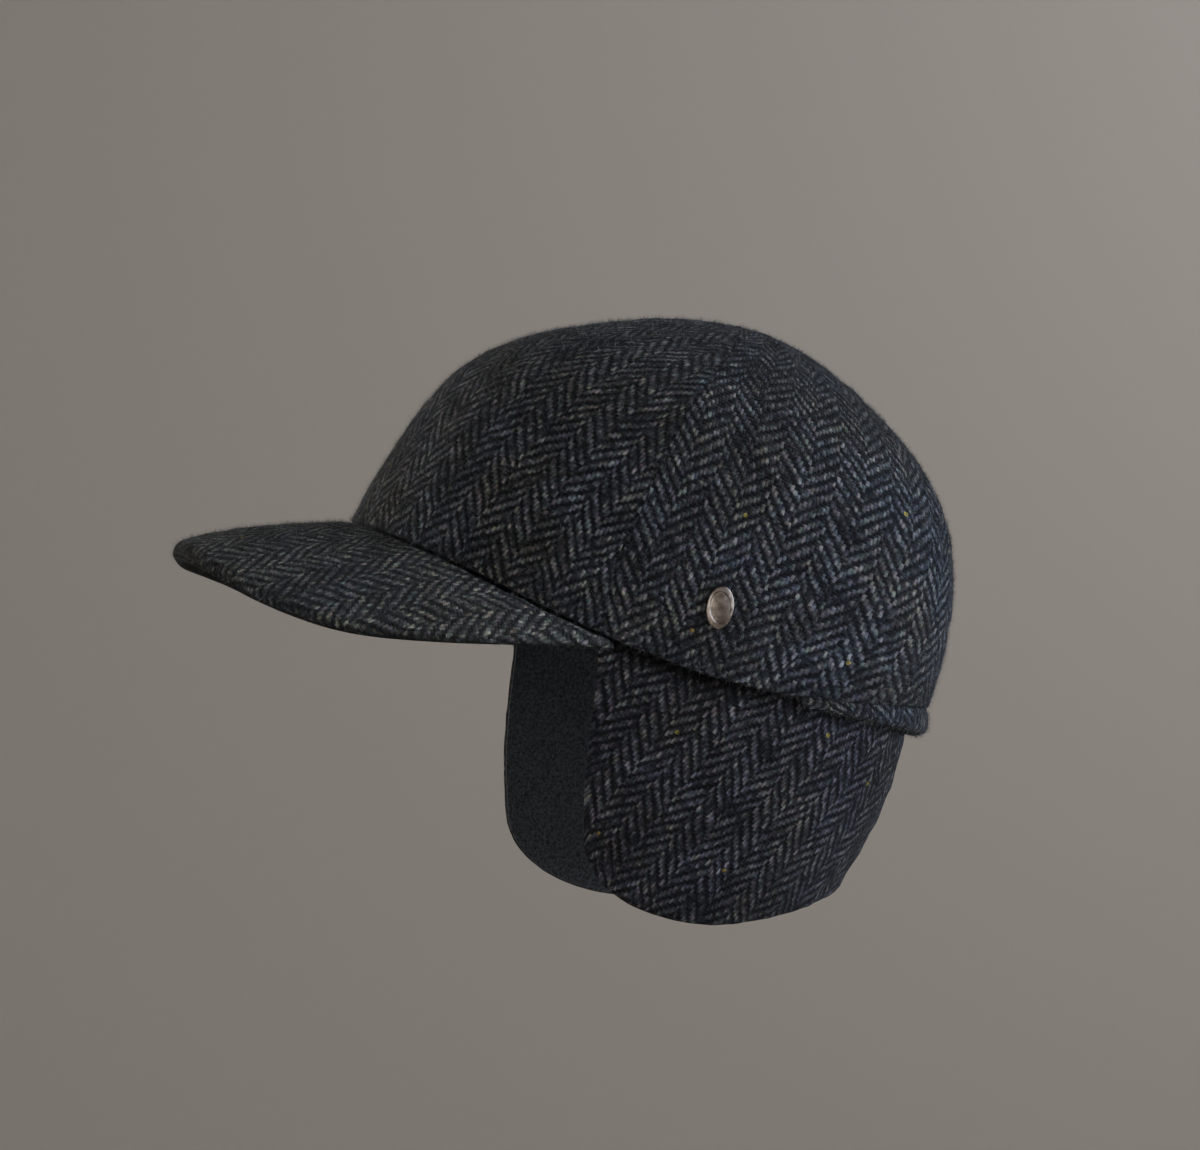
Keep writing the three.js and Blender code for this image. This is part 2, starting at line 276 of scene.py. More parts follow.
def flapPlace(a, b):  # the turn and height of a point, and how far it is drawn in under the crown
    first = math.radians(flap["frontTurn"])
    turn = mix(first, 2 * math.pi - first, a - flap["crowding"] * math.sin(2 * math.pi * a))
    fromFront = min(turn, 2 * math.pi - turn) - first
    corner = min(max(fromFront / math.radians(flap["cornerTurn"]), 0), 1)
    rounded = flap["cornerRise"] * (1 - math.sqrt(1 - (1 - corner) ** 2))
    edge = mix(flap["napeZ"], flap["earZ"], smooth(abs(turn - math.pi) / (math.pi / 2))) + rounded
    rim = crownPoint(turn, 0).z / mm
    height = mix(edge, rim + flap["tuck"], b)
    ahead, behind, down = flap["pull"]
    start, length = flap["pullTurn"]
    pulled = mix(behind, ahead, smooth((math.cos(turn) + start) / length))
    return turn, height, pulled * (1 - smooth((rim - height) / down))


def flapSurface(a, b):
    turn, height, pulled = flapPlace(a, b)
    backY, halfWidth, frontReach = flapSection((flap["top"] - height) / (flap["top"] - flap["bottom"]))
    forward, aside = math.cos(turn), math.sin(turn)
    halfWidth -= pulled
    reach = (frontReach if forward > 0 else backY - flap["middleY"]) - pulled
    along = -forward * (1 + crown["fullness"] * aside ** 2)
    across = aside * (1 + crown["fullness"] * forward ** 2)
    return Vector((halfWidth * across, flap["middleY"] + reach * along, height)) * mm


hem = {
    "endTurn": 112,         # where it starts and ends, in degrees from the front
    "endHeight": 1.6,
    "backHeight": 9.4,
    "endDepth": 2.6,
    "backDepth": 7,
    "swell": 0.8,           # below 1 it fills out soon after its ends
    "square": 0.85,         # below 1 the roll is squarer than an ellipse
    "lift": 1.3,            # how far its top closes up under the crown's edge, in mm
    "paintedFoldShade": 1.6,         # painted shade of its upper and lower folds, as dark as wool this deep in a seam, in mm
    "rumple": (0.13, 11),   # share by which the roll is uneven, and how often along it
    "lean": 75,             # how far the weave's columns stand off from its length, in degrees
    "steps": (28, 170),     # round the roll and along it
}


def hemSwell(turn):  # 0 at the hem's ends and 1 at the middle of the back
    first = math.radians(hem["endTurn"])
    share = (turn - first) / (2 * math.pi - 2 * first)
    return math.sin(math.pi * share) ** hem["swell"] if 0 < share < 1 else 0


def hemSurface(a, b):  # a goes round the roll and b along it
    first = math.radians(hem["endTurn"])
    turn = mix(first, 2 * math.pi - first, b)
    height = mix(hem["endHeight"], hem["backHeight"], hemSwell(turn))
    depth = mix(hem["endDepth"], hem["backDepth"], hemSwell(turn))
    rim = crownPoint(turn, 0)
    outward = Vector((rim.x, rim.y - flap["middleY"] * mm, 0)).normalized()
    angle = 2 * math.pi * a
    out, up = [math.copysign(abs(part) ** hem["square"], part)
               for part in (-math.cos(angle), math.sin(angle))]
    uneven, often = hem["rumple"]
    rumple = 1 + uneven * noise.noise(Vector((turn * often, out, up)))
    point = rim + outward * (depth * (out * rumple - 1) / 2 * mm)
    point.z += (height * (up * rumple - 1) / 2 - 2 * crown["gap"] + hem["lift"] * max(up, 0)) * mm
    return point


# cloth

cloth = {
    "edgeSteps": 7,         # steps inside the rounded edges
    "wave": 0.45,           # how far the cloth rises and falls, in mm
    "waveLength": 34,
    "pile": 0.6,            # the same for the small lumps of the pile
    "pileLength": 5.5,
    "underside": 1.8,       # painted shade of an inner side, as dark as wool this deep in a seam, in mm
    "layers": (44, 28),     # steps of the coarse copy that the cloth is spread over
}


def stations(count, head, tail):  # shares from 0 to 1, crowded into the first and last stretch
    inner = [1 - math.cos(math.pi / 2 * k / cloth["edgeSteps"]) for k in range(cloth["edgeSteps"])]
    start = [head * k for k in inner] if head else []
    end = [1 - tail * k for k in reversed(inner)] if tail else []
    return start + [mix(head, 1 - tail, k / count) for k in range(count + 1)] + end


def newGrid(name, columns, rows):
    grid = bmesh.new()
    bmesh.ops.create_grid(grid, x_segments=columns, y_segments=rows, size=0.5)
    return grid, grid.verts.layers.int.new(name + "Column"), grid.verts.layers.int.new(name + "Row")


def linkMesh(name, grid):
    mesh = bpy.data.meshes.new(name)
    grid.to_mesh(mesh)
    grid.free()
    piece = bpy.data.objects.new(name, mesh)
    bpy.context.scene.collection.objects.link(piece)
    return piece


def layCloth(surface, grain):
    # spreads the cloth over a coarse copy of the piece, true to size, with its columns along the grain
    columns, rows = cloth["layers"]
    points = np.array([[surface(i / columns, j / rows) for j in range(rows + 1)] for i in range(columns + 1)])
    sideways, lengthways = [np.gradient(points, axis=axis) for axis in (0, 1)]
    normals = np.cross(sideways, lengthways)
    sideways, lengthways, normals = [vectors / np.linalg.norm(vectors, axis=2, keepdims=True)
                                     for vectors in (sideways, lengthways, normals)]
    warp = grain(sideways, lengthways)
    warp = warp - normals * np.sum(warp * normals, axis=2, keepdims=True)
    warp /= np.linalg.norm(warp, axis=2, keepdims=True)
    weft = np.cross(warp, normals)
    number = np.arange((columns + 1) * (rows + 1)).reshape(columns + 1, rows + 1)
    links, steps = [], []
    for here, there in ((np.s_[:-1, :], np.s_[1:, :]), (np.s_[:, :-1], np.s_[:, 1:])):
        gap = points[there] - points[here]
        links.append(np.stack([number[here], number[there]], axis=-1).reshape(-1, 2))
        steps.append(np.stack([np.sum(gap * (yarn[here] + yarn[there]) / 2, axis=2) for yarn in (weft, warp)],
                              axis=-1).reshape(-1, 2))
    links, steps = np.concatenate(links), np.concatenate(steps)
    balance = np.zeros((number.size, number.size))
    pull = np.zeros((number.size, 2))
    for (here, there), step in zip(links, steps):
        balance[here, here] += 1
        balance[there, there] += 1
        balance[here, there] -= 1
        balance[there, here] -= 1
        pull[there] += step
        pull[here] -= step
    balance[0, 0] += 1
    table = np.linalg.solve(balance, pull).reshape(columns + 1, rows + 1, 2)
    table += 1 - table.min(axis=(0, 1))  # the pattern's coordinates stay positive

    def at(a, b):
        x, y = a * columns, b * rows
        i, j = min(int(x), columns - 1), min(int(y), rows - 1)
        low = mix(table[i, j], table[i + 1, j], x - i)
        return mix(low, mix(table[i, j + 1], table[i + 1, j + 1], x - i), y - j)
    return at


def leaning(degrees):  # a grain that leans back from level as seen from the side
    grain = np.array([0, math.cos(math.radians(degrees)), math.sin(math.radians(degrees))])
    return lambda sideways, lengthways: grain + 0 * sideways


def rollDepth(roll, distance):
    depth, width = roll
    return depth * (1 - math.sqrt(1 - (1 - min(distance / width, 1)) ** 2))


def sewCloth(name, surface, across, up, wall, rolls, flat, inward=None, rimShare=None, paintedShade=None):
    # a wall of cloth on the surface, with rounded edges: rolls holds the left, right, lower and upper one
    grid, column, row = newGrid("cloth", len(across) - 1, len(up) - 1)
    sheet = grid.loops.layers.uv.new("cloth")
    paintedShadeDepth = grid.verts.layers.float.new("paintedShadeDepth")
    for vert in grid.verts:
        vert[column] = round((vert.co.x + 0.5) * (len(across) - 1))
        vert[row] = round((vert.co.y + 0.5) * (len(up) - 1))
    made = bmesh.ops.extrude_face_region(grid, geom=grid.faces[:], use_keep_orig=True)
    inside = {item for item in made["geom"] if isinstance(item, bmesh.types.BMVert)}
    insideFaces = {item for item in made["geom"] if isinstance(item, bmesh.types.BMFace)}
    points = np.array([[surface(a, b) for b in up] for a in across])
    normals = np.cross(np.gradient(points, axis=0), np.gradient(points, axis=1))
    normals /= np.linalg.norm(normals, axis=2, keepdims=True)
    rowSteps = np.linalg.norm(np.diff(points, axis=0), axis=2) / mm
    columnSteps = np.linalg.norm(np.diff(points, axis=1), axis=2) / mm
    left = np.concatenate([np.zeros((1, len(up))), np.cumsum(rowSteps, axis=0)])
    low = np.concatenate([np.zeros((len(across), 1)), np.cumsum(columnSteps, axis=1)], axis=1)
    distances = (left, left[-1:] - left, low, low[:, -1:] - low)
    flats = {}
    for vert in grid.verts:
        i, j = vert[column], vert[row]
        point, normal = Vector(points[i, j]), Vector(normals[i, j])
        wave = noise.noise(point / (cloth["waveLength"] * mm)) * cloth["wave"]
        if vert in inside:
            into = Vector(inward(across[i], up[j])) if inward else normal * (-wall * mm)
            shallow = max(rollDepth(crown["inside"], d[i, j]) for d in distances)
            vert.co = point + into * (1 - shallow / wall) + normal * wave * mm
            # painted shade on the inner side
            vert[paintedShadeDepth] = cloth["underside"]
        else:
            # painted shade: the deeper the wool rolls into a seam or edge, the darker its colour is painted,
            # with more painted shade added at some places
            depths = [rollDepth(roll, d[i, j]) if roll else 0 for roll, d in zip(rolls, distances)]
            depths[2] *= rimShare(across[i]) if rimShare else 1
            vert[paintedShadeDepth] = max(depths + ([paintedShade(across[i], up[j])] if paintedShade else []))
            pile = noise.noise(point / (cloth["pileLength"] * mm)) * cloth["pile"]
            vert.co = point + normal * (wave + pile - max(depths)) * mm
        if (i, j) not in flats:
            flats[i, j] = flat(across[i], up[j])
    edgeFaces = {face for face in grid.faces if len(inside.intersection(face.verts)) == 2}
    for face in grid.faces:
        face.smooth = True
        face.material_index = 1 if face in insideFaces else 0
        for loop in face.loops:
            i, j = loop.vert[column], loop.vert[row]
            loop[sheet].uv = flats[i, j]
            if face in edgeFaces and loop.vert in inside:  # the weave runs on over the edge of the wall
                away = flats[i, j] - flats[min(max(i, 1), len(across) - 2), min(max(j, 1), len(up) - 2)]
                loop[sheet].uv += Vector(away / np.linalg.norm(away) * wall * mm)
    # extruding makes the faces of the edge in another order each time, so they are put in one that stays
    edgeFaces = sorted(edgeFaces, key=lambda face: face.calc_center_median()[:])
    grid.faces.index_update()
    for place, face in enumerate(edgeFaces, len(grid.faces)):
        face.index = place
    grid.faces.sort()
    bmesh.ops.recalc_face_normals(grid, faces=grid.faces[:])
    return linkMesh(name, grid)


# colours and materials

def colour(code):  # an sRGB hex value turned to linear
    parts = [int(code[k:k + 2], 16) / 255 for k in (1, 3, 5)]
    return (*[p / 12.92 if p <= 0.04045 else ((p + 0.055) / 1.055) ** 2.4 for p in parts], 1)


def addNode(tree, kind, inputs=None, stops=None, **settings):
    # one node with its settings; an input is a value or the socket that it is linked from
    node = tree.nodes.new("ShaderNode" + kind)
    for name, value in settings.items():
        setattr(node, name, value)
    for socket, value in (inputs or {}).items():
        if isinstance(value, bpy.types.NodeSocket):
            tree.links.new(value, node.inputs[socket])
        else:
            node.inputs[socket].default_value = value
    for place, (position, code) in enumerate(stops or []):
        stop = node.color_ramp.elements[place] if place < 2 else node.color_ramp.elements.new(position)
        stop.position, stop.color = position, colour(code)
    return node


def newMaterial(name):
    material = bpy.data.materials.new(name)
    material.use_nodes = True
    material.node_tree.nodes.clear()
    return material, material.node_tree


weave = {
    "pitch": (1.08, 1.22),  # from warp thread to warp thread and from weft to weft, in mm
    "columnEnds": 8,        # warp threads in one column of the herringbone
    "relief": 0.42,         # height of a float, in mm
    # how far the threads stray and in what lengths, in mm, and with how much detail
    "wander": [(2, 14, 2), (0.75, 2.4, 1)],
    "heather": [(0.35, "#26282d"), (0.45, "#484b50"), (0.54, "#64676b"), (0.62, "#7e8182"),
                (0.74, "#999a97")],
    "dark": [(0.3, "#0a0b0f"), (0.55, "#10131a"), (0.75, "#1d2029")],
    "nap": "#34373d",       # the hairs that lie over the yarns
    "napHairs": 1.7,        # hairs of the nap on a millimetre
    "fibres": 3.1,          # fibres of the yarn on a millimetre
    "fibreTones": (0.5, 1.45),   # from the darkest fibres to the lightest
    "paintedGapShade": (0.58, 1.05),    # painted shade, from the gaps between floats to the tops of them
    "melange": (0.68, 1.2),  # strength and size in mm of the colours mixed in the yarn
    "tintSize": 38,         # size of the drifts of colour, in mm
    "toneSize": 17,         # size of the lighter and darker places, in mm
    "tones": (0.58, 1.42),
    "nepSpacing": 15,       # in mm
    "nepSize": 0.052,       # share of the spacing
    "nepsMissing": 0.92,    # share of the places that have none
    "nepCover": (0.5, 0.45),     # how much shows of one in the dark yarn, and how much more in the light one
    "flecks": [(0.0, "#a59b45"), (0.5, "#8b8645"), (0.68, "#8a7350"), (0.84, "#547472"), (1.0, "#5c6d80")],
    "shadow": (1.8, 0.2),   # painted shade: how deep in a seam the wool is painted darkest, in mm, and how dark, next to 1 outside
}


def woolMaterial(name, tints, shade, nap):
    # woollen-spun tweed, woven 2/2 herringbone: matt, hairy, light heather warp over a near-black weft
    material, tree = newMaterial(name)
    sheet = addNode(tree, "UVMap", uv_map="cloth").outputs["UV"]
    inMm = addNode(tree, "VectorMath", {0: sheet, 1: (1000, 1000, 1000)}, operation="MULTIPLY").outputs[0]
    moved = inMm
    for amount, size, detail in weave["wander"]:
        stray = addNode(tree, "TexNoise", {"Vector": inMm, "Scale": 1 / size, "Detail": detail},
                        noise_dimensions="2D")
        centred = addNode(tree, "VectorMath", {0: stray.outputs["Color"], 1: (0.5, 0.5, 0.5)},
                          operation="SUBTRACT")
        offset = addNode(tree, "VectorMath", {0: centred.outputs[0], "Scale": amount}, operation="SCALE")
        moved = addNode(tree, "VectorMath", {0: moved, 1: offset.outputs[0]}, operation="ADD").outputs[0]
    perMm = (1 / weave["pitch"][0], 1 / weave["pitch"][1], 1)
    threads = addNode(tree, "VectorMath", {0: moved, 1: perMm}, operation="MULTIPLY")
    split = addNode(tree, "SeparateXYZ", {0: threads.outputs["Vector"]})
    made = {"x": split.outputs["X"], "y": split.outputs["Y"]}
    for result, operation, *values in (
        # which threads cross here, and which of them lies on top
        ("end", "FLOOR", "x"),
        ("pick", "FLOOR", "y"),
        ("acrossEnd", "FRACT", "x"),
        ("acrossPick", "FRACT", "y"),
        ("column", "DIVIDE", "end", weave["columnEnds"]),
        ("column", "FLOOR", "column"),
        ("odd", "FLOORED_MODULO", "column", 2),
        ("sign", "MULTIPLY_ADD", "odd", -2, 1),
        ("step", "MULTIPLY_ADD", "end", "sign", "odd"),
        ("step", "ADD", "step", "pick"),
        ("step", "FLOORED_MODULO", "step", 4),
        ("warpUp", "LESS_THAN", "step", 1.5),
        # the hairs of neighbouring floats run together along the twill line
        ("line", "MULTIPLY_ADD", "x", "sign", "y"),
        ("line", "MULTIPLY_ADD", "odd", 2, "line"),
        ("line", "ADD", "line", 0.5),
        ("line", "FLOORED_MODULO", "line", 4),
        ("line", "SUBTRACT", "line", 2),
        ("line", "ABSOLUTE", "line"),
        ("line", "MULTIPLY_ADD", "line", -0.55, 1.05),
        ("light", "ADD", "warpUp", "line"),
        ("light", "MULTIPLY", "light", 0.5),
        # how far along and across its float a point lies
        ("warpAlong", "ADD", "step", "acrossPick"),
        ("warpAlong", "MULTIPLY", "warpAlong", 0.5),
        ("weftAlong", "MULTIPLY_ADD", "acrossEnd", "sign", "odd"),
        ("weftAlong", "ADD", "weftAlong", "step"),
        ("weftAlong", "MULTIPLY_ADD", "weftAlong", 0.5, -1),
        ("along", "SUBTRACT", "warpAlong", "weftAlong"),
        ("along", "MULTIPLY_ADD", "along", "warpUp", "weftAlong"),
        ("across", "SUBTRACT", "acrossEnd", "acrossPick"),
        ("across", "MULTIPLY_ADD", "across", "warpUp", "acrossPick"),
        # the rounded height of the float
        ("side", "MULTIPLY_ADD", "across", 2, -1),
        ("side", "MULTIPLY", "side", "side"),
        ("side", "SUBTRACT", 1, "side"),
        ("side", "MAXIMUM", "side", 0),
        ("side", "POWER", "side", 0.6),
        ("tip", "MULTIPLY_ADD", "along", 2, -1),
        ("tip", "MULTIPLY", "tip", "tip"),
        ("tip", "SUBTRACT", 1, "tip"),
        ("tip", "MAXIMUM", "tip", 0),
        ("tip", "POWER", "tip", 0.6),
        ("height", "MULTIPLY_ADD", "tip", 0.45, 0.55),
        ("height", "MULTIPLY", "height", "side"),
        # places along the yarns, for their spun colours and twisted fibres
        ("yarn", "SUBTRACT", "end", "pick"),
        ("yarn", "MULTIPLY_ADD", "yarn", "warpUp", "pick"),
        ("yarn", "MULTIPLY_ADD", "warpUp", 371.7, "yarn"),
        ("run", "SUBTRACT", "y", "x"),
        ("run", "MULTIPLY_ADD", "run", "warpUp", "x"),
        ("twist", "MULTIPLY_ADD", "run", 1.6, "across"),
        ("slow", "MULTIPLY", "run", 0.3),
        ("yarnPlace", "MULTIPLY", "yarn", 5.3),
    ):
        sockets = {k: made[v] if isinstance(v, str) else v for k, v in enumerate(values)}
        made[result] = addNode(tree, "Math", sockets, operation=operation).outputs[0]
    onYarn = addNode(tree, "CombineXYZ", {"X": made["slow"], "Y": made["yarnPlace"]})
    spun = addNode(tree, "TexNoise", {"Vector": onYarn.outputs[0], "Scale": 1, "Detail": 3, "Roughness": 0.6},
                   noise_dimensions="2D")
    onFibre = addNode(tree, "CombineXYZ", {"X": made["run"], "Y": made["twist"], "Z": made["yarnPlace"]})
    fibre = addNode(tree, "TexNoise", {"Vector": onFibre.outputs[0], "Scale": weave["fibres"], "Detail": 2,
                                       "Roughness": 0.65})
    light = addNode(tree, "ValToRGB", {"Fac": spun.outputs["Fac"]}, stops=weave["heather"])
    dark = addNode(tree, "ValToRGB", {"Fac": spun.outputs["Fac"]}, stops=weave["dark"])
    yarns = addNode(tree, "Mix", {"Factor": made["light"], 6: dark.outputs[0], 7: light.outputs[0]},
                    data_type="RGBA")
    # broad drifts of blue, grey and moss in the heather
    patch = addNode(tree, "TexNoise", {"Vector": inMm, "Scale": 1 / weave["tintSize"], "Detail": 6,
                                       "Roughness": 0.72}, noise_dimensions="2D")
    tint = addNode(tree, "ValToRGB", {"Fac": patch.outputs["Fac"]}, stops=tints)
    dyed = addNode(tree, "Mix", {"Factor": 1.0, 6: yarns.outputs[2], 7: tint.outputs["Color"]},
                   data_type="RGBA", blend_type="MULTIPLY")
    lit = [part * shade for part in colour(weave["nap"])[:3]]
    tinted = addNode(tree, "Mix", {"Factor": 1.0, 6: (*lit, 1), 7: tint.outputs["Color"]},
                     data_type="RGBA", blend_type="MULTIPLY")
    # the yarn is spun from wools of several colours, red to green and blue
    strength, size = weave["melange"]
    mingled = addNode(tree, "TexNoise", {"Vector": inMm, "Scale": 1 / (2 * size), "Detail": 3},
                      noise_dimensions="2D")
    mingled = addNode(tree, "VectorMath", {0: mingled.outputs["Color"], 1: (strength,) * 3,
                                           2: (1 - strength / 2,) * 3}, operation="MULTIPLY_ADD")
    dyed = addNode(tree, "Mix", {"Factor": 1.0, 6: dyed.outputs[2], 7: mingled.outputs["Vector"]},
                   data_type="RGBA", blend_type="MULTIPLY")
    # neps: small bright specks of other wools, caught in the light yarn
    cells = addNode(tree, "TexVoronoi", {"Vector": inMm, "Scale": 1 / weave["nepSpacing"], "Randomness": 1},
                    voronoi_dimensions="2D")
    chance = addNode(tree, "SeparateColor", {0: cells.outputs["Color"]})
    near = addNode(tree, "Math", {0: cells.outputs["Distance"], 1: weave["nepSize"]}, operation="LESS_THAN")
    rare = addNode(tree, "Math", {0: chance.outputs["Red"], 1: weave["nepsMissing"]},
                   operation="GREATER_THAN")
    nep = addNode(tree, "Math", {0: near.outputs[0], 1: rare.outputs[0]}, operation="MULTIPLY")
    inDark, inLight = weave["nepCover"]
    cover = addNode(tree, "Math", {0: made["warpUp"], 1: inLight, 2: inDark}, operation="MULTIPLY_ADD")
    nep = addNode(tree, "Math", {0: nep.outputs[0], 1: cover.outputs[0]}, operation="MULTIPLY")
    fleck = addNode(tree, "ValToRGB", {"Fac": chance.outputs["Green"]}, stops=weave["flecks"])
    specked = addNode(tree, "Mix", {"Factor": nep.outputs[0], 6: dyed.outputs[2], 7: fleck.outputs["Color"]},
                      data_type="RGBA")
    # fibres lighten and darken the yarn, and painted shade darkens the gaps between floats
    darkest, lightest = weave["fibreTones"]
    hairy = addNode(tree, "MapRange", {"Value": fibre.outputs["Fac"], "From Min": 0.3, "From Max": 0.7,
                                       "To Min": darkest, "To Max": lightest})
    inGap, onTop = weave["paintedGapShade"]
    shadedGaps = addNode(tree, "MapRange", {"Value": made["height"], "To Min": inGap, "To Max": onTop})
    tone = addNode(tree, "Math", {0: hairy.outputs[0], 1: shadedGaps.outputs[0]}, operation="MULTIPLY")
    drift = addNode(tree, "TexNoise", {"Vector": inMm, "Scale": 1 / weave["toneSize"], "Detail": 3,
                                       "Roughness": 0.55}, noise_dimensions="2D")
    darkest, lightest = weave["tones"]
    worn = addNode(tree, "MapRange", {"Value": drift.outputs["Fac"], "From Min": 0.3, "From Max": 0.7,
                                      "To Min": darkest * shade, "To Max": lightest * shade})
    tone = addNode(tree, "Math", {0: tone.outputs[0], 1: worn.outputs[0]}, operation="MULTIPLY")
    toned = addNode(tree, "VectorMath", {0: specked.outputs[2], "Scale": tone.outputs[0]}, operation="SCALE")
    # a thin nap of hairs lies over the yarns and softens the pattern
    hair = addNode(tree, "TexNoise", {"Vector": inMm, "Scale": weave["napHairs"], "Detail": 2,
                                      "Distortion": 1.5}, noise_dimensions="2D")
    napped = addNode(tree, "MapRange", {"Value": hair.outputs["Fac"], "From Min": 0.4, "From Max": 0.75,
                                        "To Min": 0.0, "To Max": nap})
    toned = addNode(tree, "Mix", {"Factor": napped.outputs[0], 6: toned.outputs["Vector"],
                                  7: tinted.outputs[2]}, data_type="RGBA")
    # painted shade: the wool's colour darkens where it rolls into a seam or edge, under the crown's edge, on
    # the peak's underside and in the hem's folds
    depth = addNode(tree, "Attribute", attribute_name="paintedShadeDepth")
    deepest, darkest = weave["shadow"]
    seen = addNode(tree, "MapRange", {"Value": depth.outputs["Fac"], "From Max": deepest, "To Min": 1.0,
                                      "To Max": darkest})
    toned = addNode(tree, "VectorMath", {0: toned.outputs[2], "Scale": seen.outputs[0]}, operation="SCALE")
    relief = addNode(tree, "Math", {0: fibre.outputs["Fac"], 1: 0.5, 2: made["height"]},
                     operation="MULTIPLY_ADD")
    bump = addNode(tree, "Bump", {"Height": relief.outputs[0], "Strength": 1.0,
                                  "Distance": weave["relief"] * mm})
    shader = addNode(tree, "BsdfPrincipled", {
        "Base Color": toned.outputs["Vector"], "Normal": bump.outputs["Normal"], "Roughness": 0.92,
        "Specular IOR Level": 0.2, "Sheen Weight": 0.1, "Sheen Roughness": 0.45,
        "Sheen Tint": colour("#b4bec8")})
    addNode(tree, "OutputMaterial", {"Surface": shader.outputs[0]})
    return material


def liningMaterial():
    # brushed wool on the inside: plain, dark and matt
    material, tree = newMaterial("brushed wool lining")
    place = addNode(tree, "TexCoord").outputs["Object"]
    nap = addNode(tree, "TexNoise", {"Vector": place, "Scale": 1 / (0.9 * mm), "Detail": 3})
    tone = addNode(tree, "ValToRGB", {"Fac": nap.outputs["Fac"]}, stops=[(0.3, "#24282d"), (0.7, "#4b5158")])
    bump = addNode(tree, "Bump", {"Height": nap.outputs["Fac"], "Strength": 0.7, "Distance": 0.3 * mm})
    shader = addNode(tree, "BsdfPrincipled", {
        "Base Color": tone.outputs["Color"], "Normal": bump.outputs["Normal"], "Roughness": 0.95,
        "Specular IOR Level": 0.2, "Sheen Weight": 0.2, "Sheen Roughness": 0.5})
    addNode(tree, "OutputMaterial", {"Surface": shader.outputs[0]})
    return material


pinFinish = {
    "border": (0.7, 0.78),  # where the plain raised border begins and is full, from 0 in the middle to 1
    "dome": -1.4,           # how high the outside lies next to the middle, with the border's height as 1
    "relief": 0.5,          # height of the border, in mm
    "castSize": 2.2,        # size of the uneven places of the casting, in mm
    "scratchSize": 0.35,    # size of the marks of tumbling, in mm
    "roughness": (0.22, 0.46),
}


def pewterMaterial():
    # cast pewter, tumbled to a soft shine: warm grey, slightly uneven, duller in its small marks
    material, tree = newMaterial("tumbled pewter")
    place = addNode(tree, "TexCoord").outputs["Object"]
    low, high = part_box("pin_badge")
    middle = [(a + b) / 2 for a, b in zip(low, high)]
    size = [1, (high[1] - low[1]) / 2, (high[2] - low[2]) / 2]
    centred = addNode(tree, "VectorMath", {0: place, 1: (0, middle[1], middle[2])}, operation="SUBTRACT")
    oval = addNode(tree, "VectorMath", {0: centred.outputs[0], 1: size}, operation="DIVIDE")
    oval = addNode(tree, "VectorMath", {0: oval.outputs[0], 1: (0, 1, 1)}, operation="MULTIPLY")
    out = addNode(tree, "VectorMath", {0: oval.outputs[0]}, operation="LENGTH").outputs["Value"]
    begins, full = pinFinish["border"]
    border = addNode(tree, "MapRange", {"Value": out, "From Min": begins, "From Max": full},
                     interpolation_type="SMOOTHSTEP")
    dome = addNode(tree, "Math", {0: out, 1: out}, operation="MULTIPLY")
    dome = addNode(tree, "Math", {0: dome.outputs[0], 1: pinFinish["dome"], 2: border.outputs[0]},
                   operation="MULTIPLY_ADD")
    cast = addNode(tree, "TexNoise", {"Vector": place, "Scale": 1 / (pinFinish["castSize"] * mm), "Detail": 4,
                                      "Roughness": 0.6})
    scratch = addNode(tree, "TexNoise", {"Vector": place, "Scale": 1 / (pinFinish["scratchSize"] * mm),
                                         "Detail": 2})
    tone = addNode(tree, "ValToRGB", {"Fac": cast.outputs["Fac"]}, stops=[(0.3, "#7d766f"), (0.7, "#b5aca4")])
    smoothest, roughest = pinFinish["roughness"]
    rough = addNode(tree, "MapRange", {"Value": scratch.outputs["Fac"], "To Min": smoothest,
                                       "To Max": roughest})
    relief = addNode(tree, "Math", {0: cast.outputs["Fac"], 1: 0.5, 2: dome.outputs[0]},
                     operation="MULTIPLY_ADD")
    bump = addNode(tree, "Bump", {"Height": relief.outputs[0], "Strength": 1.0,
                                  "Distance": pinFinish["relief"] * mm})
    shader = addNode(tree, "BsdfPrincipled", {
        "Base Color": tone.outputs["Color"], "Normal": bump.outputs["Normal"], "Roughness": rough.outputs[0],
        "Metallic": 1.0})
    addNode(tree, "OutputMaterial", {"Surface": shader.outputs[0]})
    return material


def floorMaterial():
    # plain paper: pale, matt and even
    material, tree = newMaterial("pale studio paper")
    shader = addNode(tree, "BsdfPrincipled", {"Base Color": colour("#a29e99"), "Roughness": 0.95,
                                              "Specular IOR Level": 0.1})
    addNode(tree, "OutputMaterial", {"Surface": shader.outputs[0]})
    return material


# each with its drifts of colour, how light it is, and how thick its nap; the flap's cloth is made darker as
# painted shade, the peak's lighter
crownWool = woolMaterial("herringbone tweed crown",
                         [(0.38, "#dad9d3"), (0.5, "#d8dbe0"), (0.62, "#cdd4e3")], 1.37, 0.55)
peakWool = woolMaterial("herringbone tweed peak",
                        [(0.36, "#dfe1d6"), (0.52, "#e0e4e0"), (0.68, "#d4dde0")], 2.2, 1.15)
flapWool = woolMaterial("herringbone tweed flap",
                        [(0.38, "#ded9d7"), (0.5, "#d9d7de"), (0.62, "#cecfe2")], 0.98, 0.6)
lining = liningMaterial()
print("materials made")


# the pieces

def dress(piece, node, wool, inner=None):
    piece.data.materials.append(wool)
    piece.data.materials.append(inner or lining)
    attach(piece, "root")
    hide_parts(node)
    return piece


def sewPanel(node, startTurn, endTurn, steps, lean):
    surface = panelSurface(startTurn, endTurn)
    seam, rim = crown["seam"], crown["rim"]
    atSeams, atRim = crown["edgeShare"]
    across = stations(steps, atSeams, atSeams)
    up = stations(crown["steps"][2], atRim, 0)
    piece = sewCloth(node + "_cloth", surface, across, up, crown["wall"], (seam, seam, rim, None),
                     layCloth(surface, leaning(lean)),
                     rimShare=lambda a: 1 - crown["hemmed"] * hemSwell(mix(startTurn(0), endTurn(0), a)))
    return dress(piece, node, crownWool)


